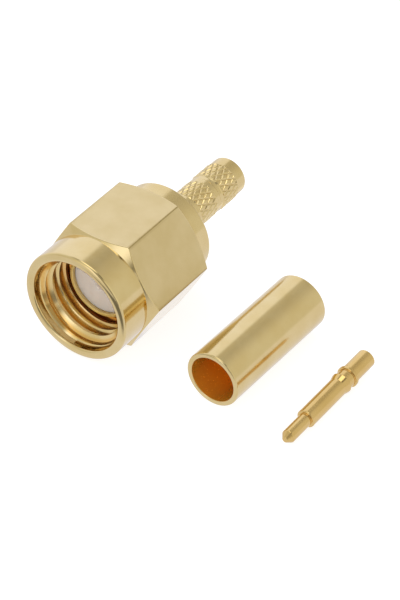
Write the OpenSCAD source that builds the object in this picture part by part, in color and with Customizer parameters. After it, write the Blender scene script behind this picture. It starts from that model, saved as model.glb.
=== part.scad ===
// Straight SMA plug for thin coaxial cable, crimp type: the connector head,
// with its crimp ferrule and its centre contact lying beside it, not yet fitted.
// The connector's axis is Y: the mouth faces -Y and the cable enters from +Y.
// The origin is on that axis, in the mating plane (the end face of the nose).
// Lengths called "back" are measured from the mating plane towards the cable.

/* [Coupling nut] */
// Width across the flats of the hexagon
hex_af = 8; // [7.9:0.05:8.6]
// Overall length of the nut
nut_len = 8.45; // [8.2:0.05:8.6]
// How far the nut's rim stands ahead of the mating plane
nut_reach = 2.85; // [2.7:0.05:3]
// Outside diameter of the round front of the nut
nut_front_d = 7.86; // [7.5:0.02:7.9]
// Length of the round front, from the rim to the start of the chamfer
nut_front_len = 2.42; // [1.8:0.02:2.8]
// Angle of the chamfer on the hexagon's front corners
hex_front_angle = 30; // [20:1:40]
// Angle of the chamfer on the hexagon's rear corners
hex_rear_angle = 29; // [20:1:40]
// Diameter of the flat annulus left on the rear face
nut_rear_d = 7.9; // [7.5:0.02:7.9]
// Diameter of the plain counterbore in the mouth
mouth_d = 6.58; // [6.4:0.02:6.8]
// Depth of the plain counterbore
mouth_depth = 0.55; // [0.4:0.05:0.8]
// Radial width of the chamfer at the mouth
mouth_chamfer = 0.14; // [0.05:0.01:0.2]
// Minor diameter of the 1/4-36 coupling thread
thread_minor_d = 5.6; // [5.5:0.02:5.7]
// Radius of the rounding on the outer edge of the rim
rim_round = 0.12; // [0.04:0.01:0.14]
// Gap between the nut's rear face and the collar of the body
nut_collar_gap = 0.15; // [0.1:0.01:0.25]

/* [Connector body] */
// Wall of the nose (the outer contact) round the insulator
nose_wall = 0.21; // [0.15:0.01:0.35]
// Length of the nose, from the mating plane back to the shoulder
nose_len = 2; // [1.8:0.05:2.2]
// Diameter of the journal that the nut turns on
journal_d = 6.3; // [6.2:0.02:6.36]
// Radial running clearance between the journal and the nut
journal_clearance = 0.05; // [0.03:0.01:0.08]
// Diameter of the collar behind the nut
collar_d = 6.84; // [6.6:0.02:7.2]
// Length of the collar
collar_len = 1.55; // [1.2:0.05:2]
// Radius of the rounding on the collar's rear edge
collar_round = 0.16; // [0.08:0.01:0.25]

/* [Crimp stem] */
// Distance from the collar to the end of the stem
stem_len = 7.21; // [7:0.05:8]
// Diameter of the plain parts of the stem
stem_d = 2.73; // [2.6:0.01:2.8]
// Diameter of the bore that takes the cable's dielectric
cable_bore_d = 1.7; // [1.6:0.01:1.75]
// Plain length between the collar and the first knurl
neck_len = 2; // [1.6:0.05:2.2]
// Length of the first knurl
knurl_1_len = 1.85; // [1.4:0.05:2]
// Diameter over the first knurl
knurl_1_d = 2.78; // [2.74:0.01:2.9]
// Plain length behind the first knurl
land_len = 0.35; // [0.2:0.05:0.4]
// Width of the groove ahead of the second knurl
stem_groove_w = 0.35; // [0.2:0.05:0.4]
// Diameter at the bottom of that groove
stem_groove_d = 2.58; // [2.5:0.01:2.6]
// Length of the second knurl
knurl_2_len = 1.7; // [1.4:0.05:1.9]
// Diameter over the second knurl
knurl_2_d = 2.84; // [2.8:0.01:2.96]
// Number of knurl grooves of each hand
knurl_teeth = 20; // [16:1:24]
// Axial pitch of the knurl diamonds
knurl_pitch = 0.88; // [0.7:0.02:1]
// Radial depth of the knurl grooves
knurl_depth = 0.12; // [0.08:0.01:0.14]
// Share of a diamond's width that stays flat on its top
knurl_flat = 0.5; // [0.2:0.05:0.7]
// Length over which the knurl grooves run out at a band's ends
knurl_run_out = 0.14; // [0.1:0.01:0.2]
// Radius of the rounding on the end of the stem
stem_round = 0.3; // [0.15:0.01:0.35]

/* [Retaining ring] */
// Axial thickness of the ring
ring_w = 0.5; // [0.4:0.05:0.6]
// Radial depth of the ring's section
ring_h = 0.62; // [0.5:0.01:0.64]
// How far the ring stands out of the journal
ring_stand = 0.27; // [0.2:0.01:0.3]
// Opening of the ring
ring_gap = 0.9; // [0.6:0.1:1.4]
// Distance of the ring's middle back from the mating plane
ring_back = 3.9; // [3.7:0.05:4.1]
// Clearance beside the ring in the body's groove, each side
ring_side_clearance = 0.05; // [0.03:0.01:0.08]
// Clearance beside the ring in the nut's groove, each side
nut_groove_clearance = 0.1; // [0.06:0.01:0.15]
// Radial clearance under the ring and over it
ring_radial_clearance = 0.06; // [0.04:0.01:0.08]

/* [Insulator] */
// Outside diameter of the insulator
insulator_d = 4.12; // [4:0.02:4.3]
// Radial clearance between the insulator and the nose
insulator_clearance = 0.01; // [0.005:0.005:0.02]
// Length of the insulator's front lip, which the contact's shoulder seats behind
lip_len = 0.3; // [0.2:0.05:0.5]
// Radial clearance round the contact's pin in the lip
pin_hole_clearance = 0.01; // [0.005:0.005:0.03]
// Radial clearance round the contact in the insulator
contact_clearance = 0.015; // [0.01:0.005:0.03]

/* [Centre contact] */
// Diameter of the mating pin
pin_d = 0.92; // [0.88:0.01:0.96]
// Length of the mating pin, its nose included
pin_len = 2.25; // [2:0.01:2.5]
// Diameter of the flat on the pin's nose
pin_nose_d = 0.4; // [0.3:0.02:0.5]
// Length of the pin's conical nose
pin_nose_len = 0.37; // [0.3:0.01:0.5]
// Diameter of the contact's barrel
barrel_d = 1.27; // [1.2:0.01:1.3]
// Distance from the pin's shoulder to the start of the barb
barb_start = 3.61; // [3.4:0.01:3.7]
// Length of the barb
barb_len = 0.46; // [0.35:0.01:0.6]
// Diameter of the barb
barb_d = 1.47; // [1.4:0.01:1.49]
// Width of the groove between the barb and the stop ring
barb_groove_w = 0.62; // [0.5:0.01:0.8]
// Diameter of the stop ring
stop_d = 1.5; // [1.49:0.01:1.54]
// Width of the stop ring
stop_w = 0.22; // [0.15:0.01:0.3]
// Length of the wire barrel behind the stop ring
wire_barrel_len = 2.05; // [1.8:0.01:2.4]
// Diameter of the hole for the cable's inner conductor
wire_hole_d = 0.6; // [0.5:0.01:0.7]
// Depth of the hole for the inner conductor
wire_hole_depth = 1.8; // [1.5:0.05:1.95]

/* [Crimp ferrule] */
// Outside diameter of the ferrule
ferrule_d = 3.88; // [3.7:0.01:4]
// Inside diameter of the ferrule
ferrule_bore_d = 3.2; // [3.05:0.01:3.3]
// Length of the ferrule
ferrule_len = 9.7; // [8.5:0.05:10.5]
// Radius of the rounding on the ferrule's outer edges
ferrule_round = 0.1; // [0.05:0.01:0.14]

/* [Places of the loose pieces] */
// Distance of the ferrule's front end to the right of the connector
ferrule_x = 9.74; // [9:0.02:11]
// Distance of the ferrule's front end back from the mating plane
ferrule_y = -1.62; // [-3:0.02:0]
// Turn of the ferrule on the table, away from the connector's axis
ferrule_yaw = 1.5; // [0:0.1:4]
// Distance of the contact to the right of the connector
contact_x = 15.69; // [14.6:0.01:17]
// Distance of the contact's nose back from the mating plane
contact_y = -2.38; // [-4:0.01:0]
// Turn of the contact on the table, away from the connector's axis
contact_yaw = 0.9; // [0:0.1:3]

/* [Hidden] */
$fn = 96;
gold = [0.86, 0.74, 0.46];
// Chamfer of the small broken edges, and how far cutters run past the solids
small_chamfer = 0.05;
cut_over = 1;
// How far a knurled band runs into the plain stem beside it
knurl_overlap = 0.05;

// The table that everything lies on: the nut stands on one of its flats.
table_z = -hex_af / 2;

// Coupling nut
hex_corner_d = hex_af / cos(30);
nut_front_y = -nut_reach;
nut_rear_y = nut_front_y + nut_len;
nut_bore_d = journal_d + 2 * journal_clearance;
nut_relief_y = nose_len - 0.2;
thread_lead_in = (mouth_d - thread_minor_d) / 2;

// Connector body
collar_y = nut_rear_y + nut_collar_gap;
collar_rear_y = collar_y + collar_len;
stem_end_y = collar_rear_y + stem_len;
knurl_1_y = collar_rear_y + neck_len;
stem_groove_y = knurl_1_y + knurl_1_len + land_len;
knurl_2_y = stem_groove_y + stem_groove_w;
insulator_bore_d = insulator_d + 2 * insulator_clearance;
nose_d = insulator_bore_d + 2 * nose_wall;
nose_inner_chamfer = min(small_chamfer, nose_wall / 4);

// Retaining ring, in the groove of the body and under the groove of the nut
ring_inner_d = journal_d + 2 * (ring_stand - ring_h);
ring_outer_d = ring_inner_d + 2 * ring_h;
body_groove_d = ring_inner_d - 2 * ring_radial_clearance;
body_groove_w = ring_w + 2 * ring_side_clearance;
nut_groove_d = ring_outer_d + 2 * ring_radial_clearance;
nut_groove_w = ring_w + 2 * nut_groove_clearance;

// Centre contact: distances from its nose
barb_y = pin_len + barb_start;
barb_rear_y = barb_y + barb_len;
stop_y = barb_rear_y + barb_groove_w;
stop_rear_y = stop_y + stop_w;
contact_len = stop_rear_y + wire_barrel_len;
contact_bore_d = barrel_d + 2 * contact_clearance;
pin_hole_d = pin_d + 2 * pin_hole_clearance;
insulator_len = lip_len + stop_y - pin_len;

// It rests on the front edge of its barrel and on the stop ring, so it tilts.
barrel_edge_y = pin_len + small_chamfer;
contact_tilt = atan((stop_d - barrel_d) / 2 / (stop_y - barrel_edge_y));
contact_height = barrel_d / 2 * cos(contact_tilt) - barrel_edge_y * sin(contact_tilt);

// Turns a solid made along +Z so that it lies along +Y.
module along_y() {
    rotate([-90, 0, 0]) children();
}

// A turned solid: the outline is a list of [radius, distance] points.
module turned(outline) {
    along_y() rotate_extrude() polygon(outline);
}

// Points of a round corner, from one angle to another about its centre.
function round_corner(centre, radius, from, to, steps = 4) = [
    for (i = [0:steps])
        let (a = from + (to - from) * i / steps)
            centre + radius * [cos(a), sin(a)]
];

// Coupling nut: a hexagon behind a round front, bored for the thread, the
// journal and the retaining ring. The thread's crests are the bored wall.
module nut_envelope() {
    reach = hex_corner_d / 2 + cut_over;
    front_r = nut_front_d / 2;
    rear_r = nut_rear_d / 2;
    front_cone = (reach - front_r) * tan(hex_front_angle);
    rear_cone = (reach - rear_r) * tan(hex_rear_angle);
    turned(concat(
        [[0, nut_front_y]],
        round_corner([front_r - rim_round, nut_front_y + rim_round], rim_round, -90, 0),
        [
            [front_r, nut_front_y + nut_front_len],
            [reach, nut_front_y + nut_front_len + front_cone],
            [reach, nut_rear_y - rear_cone],
            [rear_r, nut_rear_y],
            [0, nut_rear_y]
        ]
    ));
}

module nut_bores() {
    mouth_r = mouth_d / 2;
    minor_r = thread_minor_d / 2;
    bore_r = nut_bore_d / 2;
    groove_r = nut_groove_d / 2;
    groove_front = ring_back - nut_groove_w / 2;
    groove_rear = ring_back + nut_groove_w / 2;
    turned([
        [0, nut_front_y - cut_over],
        [mouth_r + mouth_chamfer, nut_front_y - cut_over],
        [mouth_r + mouth_chamfer, nut_front_y],
        [mouth_r, nut_front_y + mouth_chamfer],
        [mouth_r, nut_front_y + mouth_depth],
        [minor_r, nut_front_y + mouth_depth + thread_lead_in],
        [minor_r, nut_relief_y],
        [bore_r, nut_relief_y],
        [bore_r, groove_front],
        [groove_r, groove_front],
        [groove_r, groove_rear],
        [bore_r, groove_rear],
        [bore_r, nut_rear_y - small_chamfer],
        [bore_r + small_chamfer, nut_rear_y],
        [bore_r + small_chamfer, nut_rear_y + cut_over],
        [0, nut_rear_y + cut_over]
    ]);
}

module coupling_nut() {
    color(gold) difference() {
        intersection() {
            translate([0, nut_front_y, 0]) along_y()
                cylinder(d = hex_corner_d, h = nut_len, $fn = 6);
            nut_envelope();
        }
        nut_bores();
    }
}

// One knurled band, from front_y along +Y. Two sets of V grooves cross at
// knurl_pitch, and both bands are cut from the same lattice. Its points stand
// half a pitch apart: every second one is a tip and the rest are crossings of
// two grooves. The tips are then turned down to the band's diameter, which
// leaves a flat on each diamond.
module knurled_band(front_y, d, length) {
    columns = 2 * knurl_teeth;
    row_step = knurl_pitch / 2;
    first = floor((front_y - knurl_1_y) / row_step) - 1;
    rows = ceil((front_y + length - knurl_1_y) / row_step) + 1 - first;
    first_y = knurl_1_y + first * row_step;
    crest_r = d / 2;
    root_r = crest_r - knurl_depth;
    tip_r = root_r + knurl_depth / (1 - knurl_flat);
    end_r = knurl_end_r(d);
    rise = knurl_run_out / 2;
    front_centre = columns * (rows + 1);
    rear_centre = front_centre + 1;
    function at(row, column) = row * columns + column % columns;
    function is_tip(row, column) = (first + row + column) % 2 == 0;
    grid = [
        for (row = [0:rows], column = [0:columns - 1])
            let (r = is_tip(row, column) ? tip_r : root_r, a = 360 * column / columns)
                [r * cos(a), r * sin(a), first_y + row * row_step]
    ];
    centres = [[0, 0, first_y], [0, 0, first_y + rows * row_step]];
    sides = [
        for (row = [0:rows - 1], column = [0:columns - 1])
            let (
                a = at(row, column),
                b = at(row, column + 1),
                c = at(row + 1, column + 1),
                d = at(row + 1, column)
            )
                each is_tip(row, column) ? [[a, d, b], [b, d, c]] : [[a, c, b], [a, d, c]]
    ];
    front_end = [for (i = [0:columns - 1]) [front_centre, at(0, i), at(0, i + 1)]];
    rear_end = [for (i = [0:columns - 1]) [rear_centre, at(rows, i + 1), at(rows, i)]];
    intersection() {
        along_y() polyhedron(concat(grid, centres), concat(sides, front_end, rear_end));
        translate([0, front_y, 0]) turned([
            [0, -knurl_overlap],
            [end_r, -knurl_overlap],
            [crest_r, rise],
            [crest_r, length - rise],
            [end_r, length + knurl_overlap],
            [0, length + knurl_overlap]
        ]);
    }
}

// Radius at which a knurled band ends inside the plain stem beside it.
function knurl_end_r(d) = d / 2 - knurl_depth - knurl_overlap;

// Connector body: nose, journal with the ring's groove, collar and crimp stem,
// turned from one bar.
module body_blank() {
    nose_r = nose_d / 2;
    journal_r = journal_d / 2;
    groove_r = body_groove_d / 2;
    collar_r = collar_d / 2;
    stem_r = stem_d / 2;
    core_1_r = knurl_end_r(knurl_1_d) - knurl_overlap;
    core_2_r = knurl_end_r(knurl_2_d) - knurl_overlap;
    turned(concat(
        [
            [0, 0],
            [nose_r - small_chamfer, 0],
            [nose_r, small_chamfer],
            [nose_r, nose_len],
            [journal_r - 2 * small_chamfer, nose_len],
            [journal_r, nose_len + 2 * small_chamfer],
            [journal_r, ring_back - body_groove_w / 2],
            [groove_r, ring_back - body_groove_w / 2],
            [groove_r, ring_back + body_groove_w / 2],
            [journal_r, ring_back + body_groove_w / 2],
            [journal_r, collar_y],
            [collar_r - small_chamfer, collar_y],
            [collar_r, collar_y + small_chamfer]
        ],
        round_corner([collar_r - collar_round, collar_rear_y - collar_round], collar_round, 0, 90),
        [
            [stem_r, collar_rear_y],
            [stem_r, knurl_1_y],
            [core_1_r, knurl_1_y + knurl_run_out],
            [core_1_r, knurl_1_y + knurl_1_len - knurl_run_out],
            [stem_r, knurl_1_y + knurl_1_len],
            [stem_r, stem_groove_y],
            [stem_groove_d / 2, stem_groove_y],
            [stem_groove_d / 2, knurl_2_y],
            [core_2_r, knurl_2_y + knurl_run_out],
            [core_2_r, knurl_2_y + knurl_2_len - knurl_run_out],
            [stem_r, knurl_2_y + knurl_2_len]
        ],
        round_corner([stem_r - stem_round, stem_end_y - stem_round], stem_round, 0, 90),
        [[0, stem_end_y]]
    ));
}

module body_bores() {
    insulator_r = insulator_bore_d / 2;
    cable_r = cable_bore_d / 2;
    turned([
        [0, -cut_over],
        [insulator_r + nose_inner_chamfer, -cut_over],
        [insulator_r + nose_inner_chamfer, 0],
        [insulator_r, nose_inner_chamfer],
        [insulator_r, insulator_len],
        [cable_r, insulator_len],
        [cable_r, stem_end_y - small_chamfer],
        [cable_r + small_chamfer, stem_end_y],
        [cable_r + small_chamfer, stem_end_y + cut_over],
        [0, stem_end_y + cut_over]
    ]);
}

module connector_body() {
    color(gold) difference() {
        union() {
            body_blank();
            knurled_band(knurl_1_y, knurl_1_d, knurl_1_len);
            knurled_band(knurl_2_y, knurl_2_d, knurl_2_len);
        }
        body_bores();
    }
}

// Retaining ring: an open spring ring that sits half in the journal's groove
// and half in the nut's, and so holds the nut on while it turns.
module retaining_ring() {
    color("goldenrod") difference() {
        turned([
            [ring_inner_d / 2, ring_back - ring_w / 2],
            [ring_outer_d / 2, ring_back - ring_w / 2],
            [ring_outer_d / 2, ring_back + ring_w / 2],
            [ring_inner_d / 2, ring_back + ring_w / 2]
        ]);
        translate([-ring_gap / 2, ring_back - ring_w, 0])
            cube([ring_gap, 2 * ring_w, ring_outer_d]);
    }
}

// Insulator: a plug with the contact's bore through it, and a front lip with the pin's hole.
module insulator() {
    outer_r = insulator_d / 2;
    bore_r = contact_bore_d / 2;
    hole_r = pin_hole_d / 2;
    color([0.93, 0.9, 0.87]) turned([
        [hole_r, 0],
        [outer_r - small_chamfer, 0],
        [outer_r, small_chamfer],
        [outer_r, insulator_len],
        [bore_r, insulator_len],
        [bore_r, lip_len],
        [hole_r, lip_len]
    ]);
}

// Crimp ferrule, on its side on the table.
module crimp_ferrule() {
    outer_r = ferrule_d / 2;
    bore_r = ferrule_bore_d / 2;
    color(gold)
        translate([ferrule_x, ferrule_y, table_z + outer_r]) rotate([0, 0, -ferrule_yaw])
            turned(concat(
                [[bore_r + small_chamfer, 0]],
                round_corner([outer_r - ferrule_round, ferrule_round], ferrule_round, -90, 0),
                round_corner([outer_r - ferrule_round, ferrule_len - ferrule_round],
                    ferrule_round, 0, 90),
                [
                    [bore_r + small_chamfer, ferrule_len],
                    [bore_r, ferrule_len - small_chamfer],
                    [bore_r, small_chamfer]
                ]
            ));
}

// Centre contact, on its side on the table, nose to the front.
module contact_blank() {
    pin_r = pin_d / 2;
    barrel_r = barrel_d / 2;
    stop_r = stop_d / 2;
    turned([
        [0, 0],
        [pin_nose_d / 2, 0],
        [pin_r, pin_nose_len],
        [pin_r, pin_len],
        [barrel_r - small_chamfer, pin_len],
        [barrel_r, barrel_edge_y],
        [barrel_r, barb_y],
        [barb_d / 2, barb_rear_y],
        [barrel_r, barb_rear_y],
        [barrel_r, stop_y],
        [stop_r, stop_y],
        [stop_r, stop_rear_y],
        [barrel_r, stop_rear_y],
        [barrel_r, contact_len - small_chamfer],
        [barrel_r - small_chamfer, contact_len],
        [0, contact_len]
    ]);
}

module centre_contact() {
    hole_y = contact_len - wire_hole_depth;
    color(gold)
        translate([contact_x, contact_y, table_z + contact_height])
            rotate([contact_tilt, 0, -contact_yaw])
                difference() {
                    contact_blank();
                    translate([0, hole_y, 0]) along_y()
                        cylinder(d = wire_hole_d, h = wire_hole_depth + cut_over);
                }
}

coupling_nut();
connector_body();
retaining_ring();
insulator();
crimp_ferrule();
centre_contact();
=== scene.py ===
"""Looks of a straight, gold plated coaxial plug: the connector head with its loose
crimp ferrule and its loose centre contact. Shapes are built in millimetres, in the
CAD's frame, and stored in metres."""

import bpy
import bmesh
import math
import numpy as np
from mathutils import Matrix, Vector


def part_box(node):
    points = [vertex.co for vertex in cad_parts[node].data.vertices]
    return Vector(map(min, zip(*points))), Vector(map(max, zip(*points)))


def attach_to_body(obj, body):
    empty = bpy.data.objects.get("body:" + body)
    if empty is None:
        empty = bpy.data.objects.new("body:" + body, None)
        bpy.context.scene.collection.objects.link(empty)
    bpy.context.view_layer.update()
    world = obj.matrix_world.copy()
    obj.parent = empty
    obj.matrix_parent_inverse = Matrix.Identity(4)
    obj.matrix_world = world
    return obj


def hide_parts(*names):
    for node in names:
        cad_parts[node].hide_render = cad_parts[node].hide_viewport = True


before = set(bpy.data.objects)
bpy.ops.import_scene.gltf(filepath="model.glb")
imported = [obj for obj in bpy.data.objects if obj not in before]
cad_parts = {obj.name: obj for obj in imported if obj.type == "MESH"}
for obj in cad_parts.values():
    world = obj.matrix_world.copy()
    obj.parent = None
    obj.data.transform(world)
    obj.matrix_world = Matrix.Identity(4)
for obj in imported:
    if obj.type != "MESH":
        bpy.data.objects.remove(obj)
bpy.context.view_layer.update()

MM = 0.001
TAU = 2 * math.pi


def box_mm(node):
    """A node's box in the CAD, in millimetres: its low and its high corner."""
    low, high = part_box(node)
    return np.array(low) / MM, np.array(high) / MM


# ---------------------------------------------------------------- sizes, mm
# Coupling nut. What the CAD's boxes give isn't written again.
NUT_LOW, NUT_HIGH = box_mm("coupling_nut")
FLOOR_Z = NUT_LOW[2]
SECTOR = math.pi / 3                    # one side of the hexagon
HEX_HALF = NUT_HIGH[2]                  # half the width across flats
HEX_ROUND = 0.13                        # rounding of the hexagon's long edges
NUT_FRONT_Y, NUT_REAR_Y = NUT_LOW[1], NUT_HIGH[1]
NUT_FRONT_R, NUT_REAR_R = 3.93, 3.95    # barrel in front, end of the rear chamfer
NUT_BARREL_LEN = 2.42
CONE_START_Y = NUT_FRONT_Y + NUT_BARREL_LEN
FRONT_SLOPE, REAR_SLOPE = math.tan(math.radians(30)), math.tan(math.radians(29))
MOUTH_R, MOUTH_DEPTH = 3.29, 0.55
RIM_MIDDLE_R, RIM_ROUND, RIM_TILT = 3.57, 0.19, math.radians(25)
THREAD_MINOR_R, THREAD_MAJOR_R, THREAD_PITCH = 2.8, 3.175, 25.4 / 36
THREAD_END_Y = 1.8
NUT_BORE_R, NUT_GROOVE_R = 3.2, 3.48
NUT_GROOVE = (3.55, 4.25)               # start and end along Y

# Body and insulator.
NOSE_R, NOSE_END_R, NOSE_LEN = 2.28, 2.18, 2.0      # outside, middle of its end
NOSE_FRONT, INSULATOR_FRONT = -0.29, -0.05          # as measured; the solids have 0
NOSE_HIGHLIGHT_Y = 0.06                    # what lies ahead of it gets a painted highlight
JOURNAL_R, RING_SEAT_R = 3.15, 2.74
RING_SEAT = (3.6, 4.2)                  # start and end along Y
COLLAR_R, COLLAR_Y, COLLAR_REAR_Y = 3.42, 5.75, 7.3
STEM_R, STEM_ROUND, CABLE_R = 1.365, 0.3, 0.85
STEM_END_Y = box_mm("connector_body")[1][1]
GROOVE_Y, GROOVE_R = 11.5, 1.345        # the plain groove ahead of the second band
INSULATOR_R, INSULATOR_FACE_R, INSULATOR_BORE_R = 2.06, 1.3, 2.07
INSULATOR_REAR = box_mm("insulator")[1][1]
CONTACT_BORE_R, PIN_HOLE_R, LIP = 0.65, 0.47, 0.3

# Knurl. Its two bands are (start, length, crest radius).
BANDS = ((9.3, 1.85, 1.39), (11.85, 1.7, 1.42))
TEETH, KNURL_DEPTH, KNURL_FLAT, KNURL_RUN_OUT = 20, 0.072, 0.61, 0.09
KNURL_HALF_TOOTH, KNURL_HALF_PITCH = math.pi / TEETH, 0.44
KNURL_ORIGIN = (math.radians(51.5), 9.70)           # a pit where two grooves cross
BODY_COLUMNS, BAND_ROWS = 440, 42

# Loose pieces: (x, y) of the front, and the turn away from +Y.
FERRULE_R, FERRULE_BORE_R, FERRULE_LEN = 1.94, 1.6, 9.7
FERRULE_AT, FERRULE_YAW = (9.74, -1.62), math.radians(1.5)
CONTACT_AT, CONTACT_YAW = (15.69, -2.38), math.radians(0.9)
TIP_R, PIN_R, BARREL_R, BARB_R, STOP_R = 0.2, 0.46, 0.635, 0.735, 0.75
TIP_LEN, PIN_LEN, BARB_Y, BARB_REAR_Y, STOP_Y, STOP_REAR_Y, CONTACT_LEN = (
    0.37, 2.25, 5.86, 6.32, 6.94, 7.16, 9.21)
WIRE_HOLE_R, WIRE_HOLE_DEPTH = 0.3, 1.8

# Light and camera. Panels are (azimuth in degrees from +Y towards +X, level, tint).
COOL, PLAIN, WARM = (1, 1.03, 1.22), (1, 0.99, 0.96), (1, 0.98, 0.95)
PANELS = [(-180, 1.4, COOL), (-172, 1.26, COOL), (-165, 0.95, PLAIN), (-157, 0.86, PLAIN),
          (-147, 0.70, PLAIN), (-127, 0.70, PLAIN), (-100, 0.85, COOL), (-60, 1.0, COOL),
          (-27, 0.98, COOL), (-20, 0.62, WARM), (5, 0.56, WARM), (28, 0.62, WARM),
          (45, 0.74, PLAIN), (90, 0.75, PLAIN), (104, 1.0, PLAIN), (114, 1.0, PLAIN),
          (124, 0.5, PLAIN), (150, 0.38, PLAIN), (168, 0.38, PLAIN), (171, 0.48, PLAIN),
          (176, 1.08, COOL), (180, 1.4, COOL)]
LAMP, LAMP_AT = (1.7, 1.7, 1.7, 1), (0, 0.25, 0.968)
CEILING_SIDE = (0.5, 0.87, 0)           # the ceiling darkens in this direction
DARK_SIDE, DARK = (0.545, -0.838, 0), (0.22, 0.22, 0.22, 1)
FLOOR_SEEN, FLOOR_GLOW = 0.42, 0.78     # its own grey, and the light that it adds
FLOOR_HALF, FLOOR_SUNK = 0.6, 2e-6      # in metres
CAMERA_AZIMUTH, CAMERA_ELEVATION = math.radians(34.8946), math.radians(39.1813)
CAMERA_TARGET, CAMERA_DISTANCE, CAMERA_LENS = (9.6775, -2.85, 5.1481), 147.06, 147.03
CAMERA_SENSOR = 36

# Gold: (light, deep) tones.
GOLD = (0.80, 0.63, 0.30), (0.76, 0.58, 0.25)
SATIN_GOLD = (0.80, 0.64, 0.325), (0.745, 0.585, 0.275)
# THREAD_ROOT_SHADE is painted shade in the thread's roots
THREAD_GOLD, THREAD_ROOT_SHADE = ((0.86, 0.67, 0.31), (0.82, 0.61, 0.25)), (0.80, 0.50, 0.14)
CONTACT_GOLD = (0.80, 0.56, 0.21), (0.76, 0.52, 0.18)
# NOSE_HIGHLIGHT_GOLD is a painted highlight on the nose's end face
NOSE_HIGHLIGHT_GOLD = (0.95, 0.74, 0.27), (0.9, 0.68, 0.22)
# INSIDE_SHADE_GOLD is painted shade: deep orange for the nose's side and shoulder and the
# ferrule's bore
INSIDE_SHADE_GOLD = (0.97, 0.56, 0.06), (0.93, 0.5, 0.05)
BRONZE = (0.62, 0.42, 0.22), (0.5, 0.33, 0.17)
# EDGE_SHADE_TONE is a painted dark line of shade along the hexagon's long edges
# RECESS_SHADE_TONE is painted shade, orange towards the back of the nut's recess
RECESS_SHADE_TONE, EDGE_SHADE_TONE = (0.80, 0.36, 0.06, 1), (0.36, 0.25, 0.08, 1)
# ROOT_STOPS place the roots' painted shade, by radius
ROOT_STOPS = [(0.292, 0.0), (0.308, 1.0), (0.3176, 1.0), (0.3186, 0.0)]   # radius in cm
PTFE_TONES = (0.80, 0.71, 0.625, 1), (0.88, 0.795, 0.71, 1)


# ------------------------------------------------------------ outline tools
def rounded(points, radii, steps=4):
    """Points of an open outline, with corner i rounded by radii[i]. A rounding takes
    up no more than 0.45 of a stretch that it shares with the next one."""
    out = [points[0]]
    for i in range(1, len(points) - 1):
        p, q, r = (np.array(points[k], float) for k in (i - 1, i, i + 1))
        u, v = p - q, r - q
        lu, lv = np.linalg.norm(u), np.linalg.norm(v)
        u, v = u / lu, v / lv
        half = math.acos(max(-1, min(1, float(u @ v)))) / 2
        radius = radii[i]
        if radius <= 0 or half > math.pi / 2 - 1e-4:
            out += [tuple(q)] * (steps + 1 if radius > 0 else 1)
            continue
        before, after = 1 if i == 1 else 0.45, 1 if i == len(points) - 2 else 0.45
        reach = min(radius / math.tan(half), before * lu, after * lv)
        radius = reach * math.tan(half)
        centre = q + (u + v) / np.linalg.norm(u + v) * math.hypot(radius, reach)
        a, b = q + u * reach - centre, q + v * reach - centre
        turn = math.pi - 2 * half
        for k in range(steps + 1):
            s = k / steps
            w = (math.sin((1 - s) * turn) * a + math.sin(s * turn) * b) / math.sin(turn)
            out.append(tuple(centre + w))
    out.append(points[-1])
    return out


def outline(*corners, steps=4):
    """Corners are (radius, y) or (radius, y, rounding)."""
    return rounded([c[:2] for c in corners], [c[2] if len(c) > 2 else 0 for c in corners],
                   steps)


def ring_point(radius, y, angle):
    """Angles run from +Z towards +X."""
    return (radius * math.sin(angle), y, radius * math.cos(angle))


# --------------------------------------------------------------- mesh tools
def make_object(name, points, faces, materials=(), place=None):
    """A piece from points in millimetres; place is applied to the mesh itself."""
    place = place or Matrix()
    mesh = bpy.data.meshes.new(name)
    mesh.from_pydata([place @ (Vector(p) * MM) for p in points], [], faces)
    for material in materials:
        mesh.materials.append(material)
    tidy(mesh)
    smooth(mesh)
    piece = bpy.data.objects.new(name, mesh)
    bpy.context.scene.collection.objects.link(piece)
    return piece


def tidy(mesh):
    """Joins points that coincide, drops what has no area, turns faces outwards."""
    bm = bmesh.new()
    bm.from_mesh(mesh)
    bmesh.ops.remove_doubles(bm, verts=bm.verts, dist=3e-8)
    bmesh.ops.dissolve_degenerate(bm, edges=bm.edges, dist=1e-8)
    loose = [v for v in bm.verts if not v.link_faces]
    bmesh.ops.delete(bm, geom=loose, context="VERTS")
    bmesh.ops.recalc_face_normals(bm, faces=bm.faces)
    bm.to_mesh(mesh)
    bm.free()


def smooth(mesh):
    """Shades smoothly with area weighted normals, so that flats stay flat."""
    mesh.polygons.foreach_set("use_smooth", [True] * len(mesh.polygons))
    normals = np.zeros((len(mesh.vertices), 3))
    for face in mesh.polygons:
        weighted = np.array(face.normal) * face.area * 1e6
        for v in face.vertices:
            normals[v] += weighted
    lengths = np.linalg.norm(normals, axis=1, keepdims=True)
    mesh.normals_split_custom_set_from_vertices(normals / np.maximum(lengths, 1e-12))
    mesh.update()


def grid_faces(rows, columns, closed):
    """Quads of a grid that closes round its columns, and along its rows if asked."""
    faces = []
    for i in range(rows if closed else rows - 1):
        j = (i + 1) % rows
        for k in range(columns):
            m = (k + 1) % columns
            faces.append((i * columns + k, i * columns + m, j * columns + m, j * columns + k))
    return faces


def lathe(name, points, materials, columns=192, closed=True, place=None, bend=None):
    """Turns an outline about Y. bend(radius, y, angle) may change the radius."""
    verts = []
    for radius, y in points:
        for k in range(columns):
            angle = TAU * k / columns
            r = bend(radius, y, angle) if bend else radius
            verts.append(ring_point(r, y, angle))
    return make_object(name, verts, grid_faces(len(points), columns, closed), materials,
                       place)


def paint(piece, index, chosen, place=None):
    """Gives a material to the faces whose (distance from the axis, y) is chosen."""
    back = (place or Matrix()).inverted()
    for face in piece.data.polygons:
        centre = back @ face.center / MM
        if chosen(math.hypot(centre.x, centre.z), centre.y):
            face.material_index = index


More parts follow.
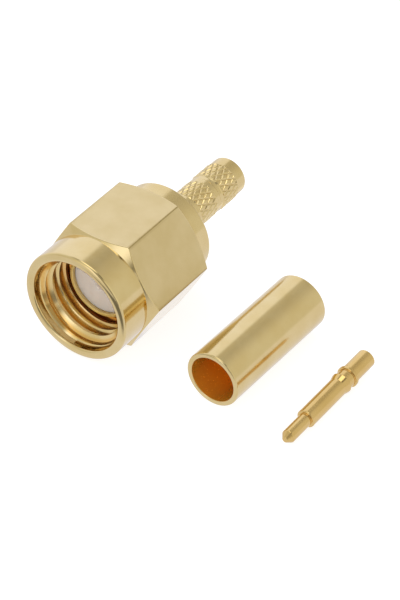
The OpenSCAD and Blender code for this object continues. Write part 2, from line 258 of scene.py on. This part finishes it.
# -------------------------------------------------------------- coupling nut
def hex_round_reach():
    """Half the angle that a rounded corner of the hexagon takes up."""
    centre = (HEX_HALF - HEX_ROUND) / math.cos(SECTOR / 2)
    return math.atan2(HEX_ROUND / 2, centre + HEX_ROUND * math.cos(SECTOR / 2))


def hex_angles(angle):
    """Angles from the middle of the nearest flat, signed, and from its corner."""
    from_flat = (angle + SECTOR / 2) % SECTOR - SECTOR / 2
    return from_flat, SECTOR / 2 - abs(from_flat)


def hex_radius(angle):
    """Distance of the hexagon's side from the axis."""
    from_flat, from_corner = hex_angles(angle)
    if from_corner >= hex_round_reach() - 1e-9:
        return HEX_HALF / math.cos(from_flat)
    centre = (HEX_HALF - HEX_ROUND) / math.cos(SECTOR / 2)
    side = centre * math.sin(from_corner)
    return centre * math.cos(from_corner) + math.sqrt(HEX_ROUND ** 2 - side ** 2)


def nut_angles(per_flat=38):
    """Even columns over each flat, and a few more in each rounded corner."""
    reach = hex_round_reach()
    half = SECTOR / 2
    flat = list(np.linspace(-half + reach, half - reach, per_flat))
    one = [-half, -half + reach / 2] + flat + [half - reach / 2]
    return [side * SECTOR + a for side in range(6) for a in one]


def rim_side(way, wall):
    """From the middle of the crowned rim to a wall, with the edge rounded. way is 1
    for outwards and -1 for inwards."""
    centre = wall - way * RIM_ROUND
    reach = way * (centre - RIM_MIDDLE_R) + RIM_ROUND * math.sin(RIM_TILT)
    crown = reach / math.sin(RIM_TILT)
    sunk = crown * (1 - math.cos(RIM_TILT)) + RIM_ROUND * math.cos(RIM_TILT)
    top = [(RIM_MIDDLE_R + way * crown * math.sin(a), NUT_FRONT_Y + crown * (1 - math.cos(a)))
           for a in np.linspace(0, RIM_TILT, 6)]
    edge = [(centre + way * RIM_ROUND * math.sin(a),
             NUT_FRONT_Y + sunk - RIM_ROUND * math.cos(a))
            for a in np.linspace(RIM_TILT, math.pi / 2, 9)[1:]]
    return top + edge


def nut_outside(angle):
    """From the middle of the rim, over the outside, to the end of the thread."""
    side = hex_radius(angle)
    rim = rim_side(1, NUT_FRONT_R)
    corners = [
        rim[-1], (NUT_FRONT_R, CONE_START_Y, 0.03),
        (side, CONE_START_Y + (side - NUT_FRONT_R) * FRONT_SLOPE, 0.06),
        (side, NUT_REAR_Y - (side - NUT_REAR_R) * REAR_SLOPE, 0.03),
        (NUT_REAR_R, NUT_REAR_Y, 0.03), (NUT_BORE_R + 0.05, NUT_REAR_Y, 0.02),
        (NUT_BORE_R, NUT_REAR_Y - 0.05, 0.02), (NUT_BORE_R, NUT_GROOVE[1], 0.02),
        (NUT_GROOVE_R, NUT_GROOVE[1], 0.04), (NUT_GROOVE_R, NUT_GROOVE[0], 0.04),
        (NUT_BORE_R, NUT_GROOVE[0], 0.02), (NUT_BORE_R, THREAD_END_Y)]
    return rim[:-1] + outline(*corners, steps=6)


def thread_profile():
    """One pitch of the 60 degree thread, from root to root: (along, radius)."""
    p = THREAD_PITCH
    crest, root = p / 8, p / 16
    corners = [(-p / 2, THREAD_MAJOR_R), (-p / 2 + root, THREAD_MAJOR_R, 0.03),
               (-crest, THREAD_MINOR_R, 0.03), (crest, THREAD_MINOR_R, 0.03),
               (p / 2 - root, THREAD_MAJOR_R, 0.03), (p / 2, THREAD_MAJOR_R)]
    return outline(*corners, steps=3)


def thread_point(start, turn, step, profile):
    """A point (radius, y) of the thread: turn is the share of a turn, step counts
    along it. Points past either end stay on it, and the lead-in cuts the first turns."""
    per_pitch = len(profile) - 1
    along, radius = profile[step % per_pitch]
    y = start - THREAD_PITCH / 2 + along + (step // per_pitch + turn) * THREAD_PITCH
    held = min(max(y, start), THREAD_END_Y)
    if held != y:
        phase = (held - start - turn * THREAD_PITCH) % THREAD_PITCH
        radius = float(np.interp(phase - THREAD_PITCH / 2, *zip(*profile)))
    lead_in = MOUTH_R - (held - start)
    return max(radius, lead_in), held


def nut_faces(columns, size, outer, last, per_pitch):
    """Faces between columns of size points, whose thread starts at row outer."""
    faces = []
    for k in range(columns):
        wrap = k == columns - 1
        for i in range(size):
            j = (i + 1) % size
            a, b = k * size + i, k * size + j
            c, d = ((k + 1) % columns * size + wrapped_row(m, outer, last, per_pitch, wrap)
                    for m in (i, j))
            faces.append((a, b, d, c))
    return faces


def wrapped_row(row, outer, last, per_pitch, wrap):
    """After a full turn the thread's rows meet those of the next pitch."""
    if not wrap or not outer <= row <= outer + last:
        return row
    step = last - (row - outer)
    return outer + last - min(step + per_pitch, last)


def build_nut(materials):
    """One closed grid of columns: outside, journal bore, thread and mouth."""
    angles, profile = nut_angles(), thread_profile()
    per_pitch = len(profile) - 1
    start = NUT_FRONT_Y + MOUTH_DEPTH
    last = math.ceil((THREAD_END_Y - start) / THREAD_PITCH + 2) * per_pitch
    mouth = [(MOUTH_R, start)] + rim_side(-1, MOUTH_R)[:0:-1]
    points = []
    for angle in angles:
        turn = (angle - angles[0]) / TAU
        column = nut_outside(angle)
        column += [thread_point(start, turn, j, profile) for j in range(last, -1, -1)]
        points += [ring_point(r, y, angle) for r, y in column + mouth]
    faces = nut_faces(len(angles), len(points) // len(angles), len(nut_outside(0)), last,
                      per_pitch)
    nut = make_object("nut_shell", points, faces, materials)
    paint_nut(nut)
    mark_edges(nut)
    return nut


def paint_nut(nut):
    """The flats get the second material, and all that is inside gets the third."""
    for face in nut.data.polygons:
        from_axis = math.hypot(face.center.x, face.center.z) / MM
        if abs(face.normal.y) < 0.02 and from_axis > NUT_REAR_R + 0.03:
            face.material_index = 1
        elif from_axis < MOUTH_R - 0.01:
            face.material_index = 2


def mark_edges(nut):
    """Marks the hexagon's long edges, which get a painted dark line of shade."""
    corner = HEX_HALF / math.cos(SECTOR / 2)
    low = CONE_START_Y + (corner - NUT_FRONT_R) * FRONT_SLOPE
    high = NUT_REAR_Y - (corner - NUT_REAR_R) * REAR_SLOPE
    width = 1.6 * hex_round_reach()
    marks = []
    for vertex in nut.data.vertices:
        x, y, z = (c / MM for c in vertex.co)
        from_corner = hex_angles(math.atan2(x, z))[1]
        marks.append(max(0, 1 - from_corner / width) if low < y < high else 0)
    layer = nut.data.attributes.new("edge", "FLOAT", "POINT")
    layer.data.foreach_set("value", marks)


# ------------------------------------------------------- body and insulator
def soft_min(a, b, width):
    """The lower of two heights, with a small rounding where they cross."""
    h = max(width - abs(a - b), 0) / width
    return min(a, b) - h * h * width / 4


def knurl_radius(angle, y, crest):
    """V grooves of both hands cross, and leave diamonds with broad flats."""
    a = (angle - KNURL_ORIGIN[0]) / KNURL_HALF_TOOTH
    b = (y - KNURL_ORIGIN[1]) / KNURL_HALF_PITCH
    one, other = (a + b) / 2 % 1, (a - b) / 2 % 1
    groove = min(min(one, 1 - one), min(other, 1 - other)) * 2
    height = crest - KNURL_DEPTH * (1 - groove / (1 - KNURL_FLAT))
    return soft_min(height, crest, 0.02)


def band_rows(start, length, crest):
    """Even rows over a knurled band, closer together where its grooves run out."""
    run_out = [KNURL_RUN_OUT * k / 5 for k in range(1, 6)]
    steps = sorted({0, length} | set(np.arange(1, BAND_ROWS) / BAND_ROWS * length)
                   | set(run_out) | {length - s for s in run_out})
    return [(crest, start + s) for s in steps]


def body_outline():
    """From the nose's end over the outside to the cable's end, and back inside."""
    (first, first_length, _), (second, second_length, _) = BANDS
    front = outline(
        (NOSE_END_R, NOSE_FRONT), (NOSE_R, NOSE_FRONT, 0.05), (NOSE_R, NOSE_LEN, 0.03),
        (JOURNAL_R, NOSE_LEN, 0.08), (JOURNAL_R, RING_SEAT[0], 0.02),
        (RING_SEAT_R, RING_SEAT[0], 0.04), (RING_SEAT_R, RING_SEAT[1], 0.04),
        (JOURNAL_R, RING_SEAT[1], 0.02), (JOURNAL_R, COLLAR_Y, 0.03),
        (COLLAR_R, COLLAR_Y, 0.06), (COLLAR_R, COLLAR_REAR_Y, 0.17),
        (STEM_R, COLLAR_REAR_Y, 0.08), (STEM_R, first - 0.01))
    land = outline(
        (STEM_R, first + first_length + 0.01), (STEM_R, GROOVE_Y, 0.05),
        (GROOVE_R, GROOVE_Y + 0.05, 0.05), (GROOVE_R, second - 0.04, 0.03),
        (STEM_R, second - 0.01))
    rear = outline(
        (STEM_R, second + second_length + 0.01), (STEM_R, STEM_END_Y, STEM_ROUND),
        (CABLE_R + 0.05, STEM_END_Y, 0.03), (CABLE_R, STEM_END_Y - 0.05, 0.02),
        (CABLE_R, INSULATOR_REAR, 0.03), (INSULATOR_BORE_R, INSULATOR_REAR, 0.03),
        (INSULATOR_BORE_R, NOSE_FRONT, 0.05), (NOSE_END_R, NOSE_FRONT), steps=6)[:-1]
    return front + band_rows(*BANDS[0]) + land + band_rows(*BANDS[1]) + rear


def knurled(radius, y, angle):
    """Cuts the grooves into a band; at its ends they run out into the plain stem."""
    for start, length, crest in BANDS:
        inside = min(y - start, start + length - y)
        if inside >= -1e-6 and radius > CABLE_R + 0.1:
            share = min(1, max(0, inside) / KNURL_RUN_OUT)
            share = share * share * (3 - 2 * share)
            low = STEM_R if radius > STEM_R else radius
            return low + (knurl_radius(angle, y, crest) - low) * share
    return radius


def paint_body(body):
    """The nose's end face gets a painted highlight; its side and the shoulder behind it get
    painted shade.
    """
    paint(body, 1, lambda radius, y: y < NOSE_LEN + 0.05)
    paint(body, 2, lambda radius, y: y < NOSE_HIGHLIGHT_Y)


def insulator_outline():
    """From the front face over the outside to the rear, and back through the bore."""
    rear, front = INSULATOR_REAR, INSULATOR_FRONT
    return outline((INSULATOR_FACE_R, front), (INSULATOR_R, front, 0.05),
                   (INSULATOR_R, rear, 0.05), (CONTACT_BORE_R, rear, 0.03),
                   (CONTACT_BORE_R, LIP, 0.02), (PIN_HOLE_R, LIP, 0.02),
                   (PIN_HOLE_R, front, 0.04), (INSULATOR_FACE_R, front))[:-1]


# ------------------------------------------------------------ loose pieces
def ferrule_outline():
    """A plain tube with rounded ends; y runs from its front."""
    wall = (FERRULE_R + FERRULE_BORE_R) / 2
    return outline((wall, 0), (FERRULE_R, 0, 0.1), (FERRULE_R, FERRULE_LEN, 0.1),
                   (FERRULE_BORE_R, FERRULE_LEN, 0.06), (FERRULE_BORE_R, 0, 0.06),
                   (wall, 0), steps=6)[:-1]


def ferrule_place():
    """It lies on the floor, at the photo's angle."""
    turn = Matrix.Rotation(-FERRULE_YAW, 4, "Z")
    at = Vector((*FERRULE_AT, FLOOR_Z + FERRULE_R)) * MM
    return Matrix.Translation(at) @ turn


def contact_outline():
    """Pin, barrel, barb, stop ring and wire barrel; y runs from the pin's tip."""
    end, hole = CONTACT_LEN, CONTACT_LEN - WIRE_HOLE_DEPTH
    return outline(
        (0, 0), (TIP_R, 0, 0.05), (PIN_R, TIP_LEN, 0.1), (PIN_R, PIN_LEN, 0.02),
        (BARREL_R, PIN_LEN, 0.11), (BARREL_R, BARB_Y, 0.04), (BARB_R, BARB_REAR_Y, 0.03),
        (BARREL_R, BARB_REAR_Y, 0.03), (BARREL_R, STOP_Y, 0.03), (STOP_R, STOP_Y, 0.04),
        (STOP_R, STOP_REAR_Y, 0.04), (BARREL_R, STOP_REAR_Y, 0.03), (BARREL_R, end, 0.07),
        (WIRE_HOLE_R, end, 0.03), (WIRE_HOLE_R, hole, 0.03), (0, hole))


def contact_place():
    """It rests on the front edge of its barrel and on its stop ring."""
    edge = PIN_LEN + 0.05
    tilt = math.atan((STOP_R - BARREL_R) / (STOP_Y - edge))
    height = BARREL_R * math.cos(tilt) - edge * math.sin(tilt)
    at = Vector((*CONTACT_AT, FLOOR_Z + height)) * MM
    turn = Matrix.Rotation(-CONTACT_YAW, 4, "Z") @ Matrix.Rotation(tilt, 4, "X")
    return Matrix.Translation(at) @ turn


# --------------------------------------------------------------- materials
class Nodes:
    """A short way to write a node tree."""

    def __init__(self, tree):
        self.tree = tree
        tree.nodes.clear()

    def add(self, kind, inputs=None, **settings):
        """A node whose inputs are sockets to link or values to set."""
        node = self.tree.nodes.new(kind)
        for key, value in settings.items():
            setattr(node, key, value)
        for key, value in (inputs or {}).items():
            if isinstance(value, bpy.types.NodeSocket):
                self.tree.links.new(value, node.inputs[key])
            else:
                node.inputs[key].default_value = value
        return node

    def math(self, operation, a, b=0.0, c=0.0):
        node = self.add("ShaderNodeMath", {0: a, 1: b, 2: c}, operation=operation)
        return node.outputs[0]

    def mix(self, share, a, b):
        """Mixes two colours."""
        node = self.add("ShaderNodeMix", {0: share, 6: a, 7: b}, data_type="RGBA")
        return node.outputs[2]

    def noise(self, vector, scale, detail=2.0, rough=0.5):
        node = self.add("ShaderNodeTexNoise", {
            "Vector": vector, "Scale": scale, "Detail": detail, "Roughness": rough})
        return node.outputs["Fac"]

    def ramp(self, value, stops):
        """stops: (position, grey or colour)."""
        node = self.add("ShaderNodeValToRGB", {0: value})
        ramp = node.color_ramp
        for i, (position, colour) in enumerate(stops):
            stop = ramp.elements[i] if i < 2 else ramp.elements.new(position)
            stop.position = position
            if not isinstance(colour, tuple):
                colour = (colour,) * 3
            stop.color = (*colour, 1)
        return node.outputs[0]


def new_material(name):
    """A material with an empty tree, and the tree's writer."""
    material = bpy.data.materials.new(name)
    material.use_nodes = True
    return material, Nodes(material.node_tree)


def millimetres(nodes, place=None):
    """The piece's own coordinates in millimetres, its axis along Y."""
    place = place or Matrix()
    at = nodes.add("ShaderNodeTexCoord").outputs["Object"]
    own = nodes.add("ShaderNodeMapping", {
        "Vector": at, "Location": place.to_translation(), "Rotation": place.to_euler("XYZ")},
        vector_type="TEXTURE").outputs[0]
    return nodes.add("ShaderNodeVectorMath", {0: own, 1: (1 / MM,) * 3},
                     operation="MULTIPLY").outputs[0]


def off_axis(nodes, place):
    """Distance from the piece's axis, in centimetres, so that it suits a ramp."""
    flat = nodes.add("ShaderNodeVectorMath", {0: place, 1: (0.1, 0, 0.1)},
                     operation="MULTIPLY").outputs[0]
    return nodes.add("ShaderNodeVectorMath", {0: flat}, operation="LENGTH").outputs["Value"]


def turning_vector(nodes, place, along):
    """(radius, y) times along: what varies only across the lathe's tool marks."""
    parts = nodes.add("ShaderNodeSeparateXYZ", {0: place}).outputs
    return nodes.add("ShaderNodeCombineXYZ", {
        0: nodes.math("MULTIPLY", off_axis(nodes, place), along * 10),
        1: nodes.math("MULTIPLY", parts[1], along), 2: 0.0}).outputs[0]


def principled(nodes, inputs, height):
    """A surface with a bump, whose height is in thousandths of a millimetre."""
    bump = nodes.add("ShaderNodeBump", {
        "Strength": 1.0, "Distance": 0.001 * MM, "Height": height})
    shader = nodes.add("ShaderNodeBsdfPrincipled", {
        **inputs, "Normal": bump.outputs["Normal"]})
    nodes.add("ShaderNodeOutputMaterial", {"Surface": shader.outputs[0]})


def thread_tone(nodes, own, tone, root):
    """Painted shade: deeper gold in the thread's roots, and orange towards the back of the
    recess.
    """
    roots = nodes.ramp(off_axis(nodes, own), ROOT_STOPS)
    tone = nodes.mix(roots, tone, (*root, 1))
    back = nodes.add("ShaderNodeSeparateXYZ", {0: own}).outputs[1]
    depth = nodes.ramp(nodes.math("MULTIPLY_ADD", back, 0.5, 0.5), [(0.3, 0.0), (0.65, 1.0)])
    return nodes.mix(depth, tone, RECESS_SHADE_TONE)


def gold_tone(nodes, own, fine, tones, root):
    """Cloudy gold, with a painted dark line of shade along marked edges, and a little lighter
    where it is rubbed.
    """
    light, deep = tones
    cloud = nodes.noise(own, 0.55, 3.0)
    tone = nodes.mix(nodes.ramp(cloud, [(0.35, 0.0), (0.65, 1.0)]), (*deep, 1), (*light, 1))
    if root:
        tone = thread_tone(nodes, own, tone, root)
    # painted shade along the hexagon's long edges
    edge_shade = nodes.add("ShaderNodeAttribute", attribute_name="edge").outputs["Fac"]
    tone = nodes.mix(nodes.math("MULTIPLY", edge_shade, 0.75), tone, EDGE_SHADE_TONE)
    rubbed = nodes.ramp(fine, [(0.62, 0.0), (0.8, 0.35)])
    return nodes.mix(rubbed, tone, (*[min(1, c * 1.08) for c in light], 1))


def gold_gloss(nodes, fine, marks, rough, glancing):
    """Uneven roughness. glancing is the share of it that is left at a flat angle."""
    gloss = nodes.math("MULTIPLY_ADD", fine, rough * 0.5, rough * 0.75)
    gloss = nodes.math("MULTIPLY_ADD", marks, rough * 0.3, gloss)
    if glancing == 1:
        return gloss
    facing = nodes.add("ShaderNodeLayerWeight", {"Blend": 0.5}).outputs["Facing"]
    return nodes.math("MULTIPLY", gloss, nodes.ramp(facing, [(0.72, 1.0), (0.9, glancing)]))


def gold(name, tones, rough, lines, grain, place=None, metal=1.0, root=None, glancing=1.0):
    """Gold plate with lathe lines and a fine grain, both given by their heights."""
    material, nodes = new_material(name)
    own = millimetres(nodes, place)
    fine = nodes.noise(own, 9.0, 4.0, 0.6)
    marks = nodes.noise(turning_vector(nodes, own, 14.0), 1.0, 3.0, 0.55)
    height = nodes.math("MULTIPLY_ADD", fine, grain, nodes.math("MULTIPLY", marks, lines))
    principled(nodes, {
        "Base Color": gold_tone(nodes, own, fine, tones, root), "Metallic": metal,
        "Roughness": gold_gloss(nodes, fine, marks, rough, glancing)}, height)
    return material


def fluoroplastic(name, glow=0.0):
    """White PTFE; glow is painted light on a hole's wall, standing in for the light that
    reaches it through the PTFE.
    """
    material, nodes = new_material(name)
    own = millimetres(nodes)
    cloud = nodes.noise(own, 0.9, 3.0)
    fine = nodes.noise(own, 14.0, 4.0, 0.6)
    marks = nodes.noise(turning_vector(nodes, own, 11.0), 1.0, 2.0)
    height = nodes.math("MULTIPLY_ADD", fine, 3.0, nodes.math("MULTIPLY", marks, 3.0))
    principled(nodes, {
        "Base Color": nodes.mix(cloud, *PTFE_TONES),
        "Roughness": nodes.math("MULTIPLY_ADD", fine, 0.2, 0.42),
        "Subsurface Weight": 0.8, "Subsurface Radius": (1.0, 0.92, 0.85),
        "Subsurface Scale": 1.0 * MM, "Emission Color": (0.88, 0.79, 0.70, 1),
        "Emission Strength": glow}, height)
    return material


# ------------------------------------------------------- light, floor, camera
def dot(nodes, vector, other):
    """How far a vector reaches along another."""
    node = nodes.add("ShaderNodeVectorMath", {0: vector, 1: other}, operation="DOT_PRODUCT")
    return node.outputs["Value"]


def room_colour(nodes, direction):
    """Panels round the sides, a dark low corner, a dim ceiling and a lamp overhead."""
    parts = nodes.add("ShaderNodeSeparateXYZ", {0: direction}).outputs
    azimuth = nodes.math("ARCTAN2", parts[0], parts[1])
    share = nodes.math("MULTIPLY_ADD", azimuth, 1 / TAU, 0.5)
    stops = [((a + 180) / 360, tuple(level * t for t in tint)) for a, level, tint in PANELS]
    room = nodes.ramp(share, stops)
    low = nodes.ramp(parts[2], [(0.05, 1.0), (0.13, 0.0)])
    front = nodes.ramp(dot(nodes, direction, DARK_SIDE), [(0.87, 0.0), (0.94, 1.0)])
    room = nodes.mix(nodes.math("MULTIPLY", low, front), room, DARK)
    across = nodes.math("MULTIPLY_ADD", dot(nodes, direction, CEILING_SIDE), 0.5, 0.5)
    ceiling = nodes.ramp(across, [(0.38, 0.62), (0.5, 0.36), (0.62, 0.18)])
    room = nodes.mix(nodes.ramp(parts[2], [(0.775, 0.0), (0.84, 1.0)]), room, ceiling)
    overhead = nodes.ramp(dot(nodes, direction, LAMP_AT), [(0.935, 0.0), (0.96, 1.0)])
    return nodes.mix(overhead, room, LAMP)


def studio_world():
    """The metal mirrors the room, the rest is lit evenly, and the camera sees white."""
    world = bpy.data.worlds.new("studio")
    bpy.context.scene.world = world
    world.use_nodes = True
    nodes = Nodes(world.node_tree)
    room = room_colour(nodes, nodes.add("ShaderNodeTexCoord").outputs["Generated"])
    path = nodes.add("ShaderNodeLightPath").outputs
    seen = nodes.mix(path["Is Glossy Ray"], (0.75, 0.75, 0.75, 1), room)
    seen = nodes.mix(path["Is Camera Ray"], seen, (1, 1, 1, 1))
    light = nodes.add("ShaderNodeBackground", {"Color": seen, "Strength": 1.0})
    nodes.add("ShaderNodeOutputWorld", {"Surface": light.outputs[0]})


def patch(nodes, one, one_stops, other, other_stops):
    """The share of a patch of the floor, from a ramp along each of two measures."""
    return nodes.math("MULTIPLY", nodes.ramp(nodes.math("MULTIPLY", *one), one_stops),
                      nodes.ramp(nodes.math("MULTIPLY", *other), other_stops))


def floor_mirrored(nodes):
    """The floor as the metal mirrors it: dark ahead of the mouth, and brightest in a
    strip beside the stem."""
    place = nodes.add("ShaderNodeTexCoord").outputs["Object"]
    back = nodes.add("ShaderNodeSeparateXYZ", {0: place}).outputs[1]
    tone = nodes.ramp(nodes.math("MULTIPLY_ADD", back, 50.0, 0.75), [
        (0.2, (0.78, 0.785, 0.87)), (0.75, (0.85, 0.855, 0.97))])
    aside = nodes.math("ADD", dot(nodes, place, (0.789, 0.614, 0)), 0.0072)
    dark = patch(nodes, (dot(nodes, place, (0.614, -0.789, 0)), 50.0),
                 [(0.35, 0.0), (0.45, 1.0)],
                 (nodes.math("ABSOLUTE", aside), 50.0), [(0.25, 1.0), (0.45, 0.0)])
    tone = nodes.mix(dark, tone, (0.2, 0.2, 0.21, 1))
    bright = patch(nodes, (dot(nodes, place, (1, 0, 0)), 100.0),
                   [(0.12, 0.0), (0.2, 1.0), (0.3, 1.0), (0.36, 0.0)],
                   (back, 100.0), [(0.1, 0.0), (0.2, 1.0)])
    return nodes.mix(bright, tone, (1.0, 1.0, 1.06, 1))


def floor_material():
    """A pale floor that reads white, and keeps a faint shadow of the object."""
    material, nodes = new_material("floor_pale")
    shade = nodes.add("ShaderNodeBsdfDiffuse", {"Color": (*(FLOOR_SEEN,) * 3, 1)})
    plain = nodes.add("ShaderNodeBsdfDiffuse", {"Color": (0.8, 0.8, 0.8, 1)})
    path = nodes.add("ShaderNodeLightPath").outputs
    glow = nodes.add("ShaderNodeEmission", {"Color": (1, 1, 1, 1), "Strength": FLOOR_GLOW})
    lit = nodes.add("ShaderNodeAddShader", {0: shade.outputs[0], 1: glow.outputs[0]})
    mirror = nodes.add("ShaderNodeEmission", {
        "Color": floor_mirrored(nodes), "Strength": 1.0})
    seen = nodes.add("ShaderNodeMixShader", {0: path["Is Glossy Ray"], 1: plain.outputs[0],
                                             2: mirror.outputs[0]})
    both = nodes.add("ShaderNodeMixShader", {0: path["Is Camera Ray"], 1: seen.outputs[0],
                                             2: lit.outputs[0]})
    nodes.add("ShaderNodeOutputMaterial", {"Surface": both.outputs[0]})
    return material


def add_floor():
    """A square, sunk by a hair so that it doesn't lie in the nut's lowest flat."""
    half, z = FLOOR_HALF, FLOOR_Z * MM - FLOOR_SUNK
    mesh = bpy.data.meshes.new("floor")
    mesh.from_pydata([(-half, -half, z), (half, -half, z), (half, half, z), (-half, half, z)],
                     [], [(0, 1, 2, 3)])
    mesh.materials.append(floor_material())
    floor = bpy.data.objects.new("floor", mesh)
    bpy.context.scene.collection.objects.link(floor)


def add_lamp(name, at, size, power, aim=(0.006, 0.004, 0), colour=(1, 1, 1)):
    """A soft disk that lights the pieces without showing in the metal."""
    light = bpy.data.lights.new(name, "AREA")
    light.shape, light.size, light.energy, light.color = "DISK", size, power, colour
    lamp = bpy.data.objects.new(name, light)
    lamp.location = at
    lamp.rotation_mode = "QUATERNION"
    lamp.rotation_quaternion = (Vector(aim) - Vector(at)).to_track_quat("-Z", "Y")
    bpy.context.scene.collection.objects.link(lamp)
    lamp.visible_glossy = False


def add_camera():
    """The photo's long lens, from above and to the right of the mouth."""
    data = bpy.data.cameras.new("camera")
    camera = bpy.data.objects.new("camera", data)
    flat = math.cos(CAMERA_ELEVATION)
    back = Vector((math.sin(CAMERA_AZIMUTH) * flat, -math.cos(CAMERA_AZIMUTH) * flat,
                   math.sin(CAMERA_ELEVATION)))
    camera.location = (Vector(CAMERA_TARGET) + back * CAMERA_DISTANCE) * MM
    camera.rotation_mode = "QUATERNION"
    camera.rotation_quaternion = (-back).to_track_quat("-Z", "Y")
    data.lens, data.sensor_width, data.sensor_fit = CAMERA_LENS, CAMERA_SENSOR, "AUTO"
    data.clip_start, data.clip_end = 0.001, 10
    bpy.context.scene.collection.objects.link(camera)
    bpy.context.scene.camera = camera


# ---------------------------------------------------------------- assembly
def head_pieces(inner_shade):
    """Nut, body and insulator, each with its finishes."""
    turned = gold("gold_turned", GOLD, 0.11, 0.9, 0.5)
    satin = gold("gold_satin", SATIN_GOLD, 0.30, 0.5, 3.2, glancing=0.35)
    # The thread's material carries painted shade in its roots and at the back of the recess
    thread = gold("gold_thread", THREAD_GOLD, 0.13, 0.9, 0.5, metal=0.9, root=THREAD_ROOT_SHADE)
    nut = build_nut([turned, satin, thread])

    stem = gold("gold_stem", GOLD, 0.13, 0.8, 0.8)
    # The nose's brighter gold is a painted highlight
    nose = gold("gold_nose_highlight", NOSE_HIGHLIGHT_GOLD, 0.2, 0.8, 0.5, metal=0.5)
    body = lathe("body_turned", body_outline(), [stem, inner_shade, nose], columns=BODY_COLUMNS,
                 bend=knurled)
    paint_body(body)

    # the pin hole's wall glows: painted light
    white, hole = fluoroplastic("insulator_white"), fluoroplastic("hole_white", glow=0.15)
    plug = lathe("insulator_plug", insulator_outline(), [white, hole])
    paint(plug, 1, lambda radius, y: y < LIP and radius < PIN_HOLE_R + 0.02)
    return nut, body, plug


def loose_pieces(inner_shade):
    """Ferrule and contact, where they lie."""
    place = ferrule_place()
    tube = gold("gold_tube", GOLD, 0.14, 0.7, 0.5, place)
    ferrule = lathe("ferrule_tube", ferrule_outline(), [tube, inner_shade], place=place)
    # the ferrule's bore gets painted shade
    paint(ferrule, 1, lambda radius, y: radius < FERRULE_BORE_R + 0.01, place)

    place = contact_place()
    warm = gold("gold_contact", CONTACT_GOLD, 0.14, 0.8, 0.5, place)
    contact = lathe("contact_pin", contact_outline(), [warm], closed=False, place=place,
                    columns=128)
    return ferrule, contact


def attach(nut, body, plug, ferrule, contact):
    """The bodies that the pieces ride on, and the nodes they replace."""
    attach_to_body(nut, "nut")
    for piece in (body, plug, ferrule, contact):
        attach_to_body(piece, "plug_body")
    for piece, node in ((nut, "coupling_nut"), (body, "connector_body"), (plug, "insulator"),
                        (ferrule, "crimp_ferrule"), (contact, "centre_contact")):
        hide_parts(node)


def finish_ring():
    """The retaining ring keeps the shape that the CAD gives it."""
    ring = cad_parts["retaining_ring"]
    bronze = gold("bronze_spring", BRONZE, 0.3, 1.5, 1.5)
    for slot in ring.material_slots:
        slot.material = bronze


def main():
    """Pieces first, then the light, the floor and the photo's camera."""
    # painted shade for hollows: the nose's side and shoulder, and the ferrule's bore
    inner_shade = gold("gold_inside_shade", INSIDE_SHADE_GOLD, 0.22, 1.0, 0.8, metal=0.72)
    attach(*head_pieces(inner_shade), *loose_pieces(inner_shade))
    finish_ring()
    studio_world()
    add_floor()
    add_lamp("key_soft", (-0.10, 0.02, 0.16), 0.12, 0.12)
    add_lamp("fill_soft", (0.14, -0.10, 0.14), 0.12, 0.05)
    add_lamp("mouth_fill", (-0.02, -0.15, 0.03), 0.04, 0.035, aim=(0, 0, 0),
             colour=(1, 0.9, 0.84))
    add_camera()
    bpy.context.scene.view_settings.view_transform = "Standard"


main()
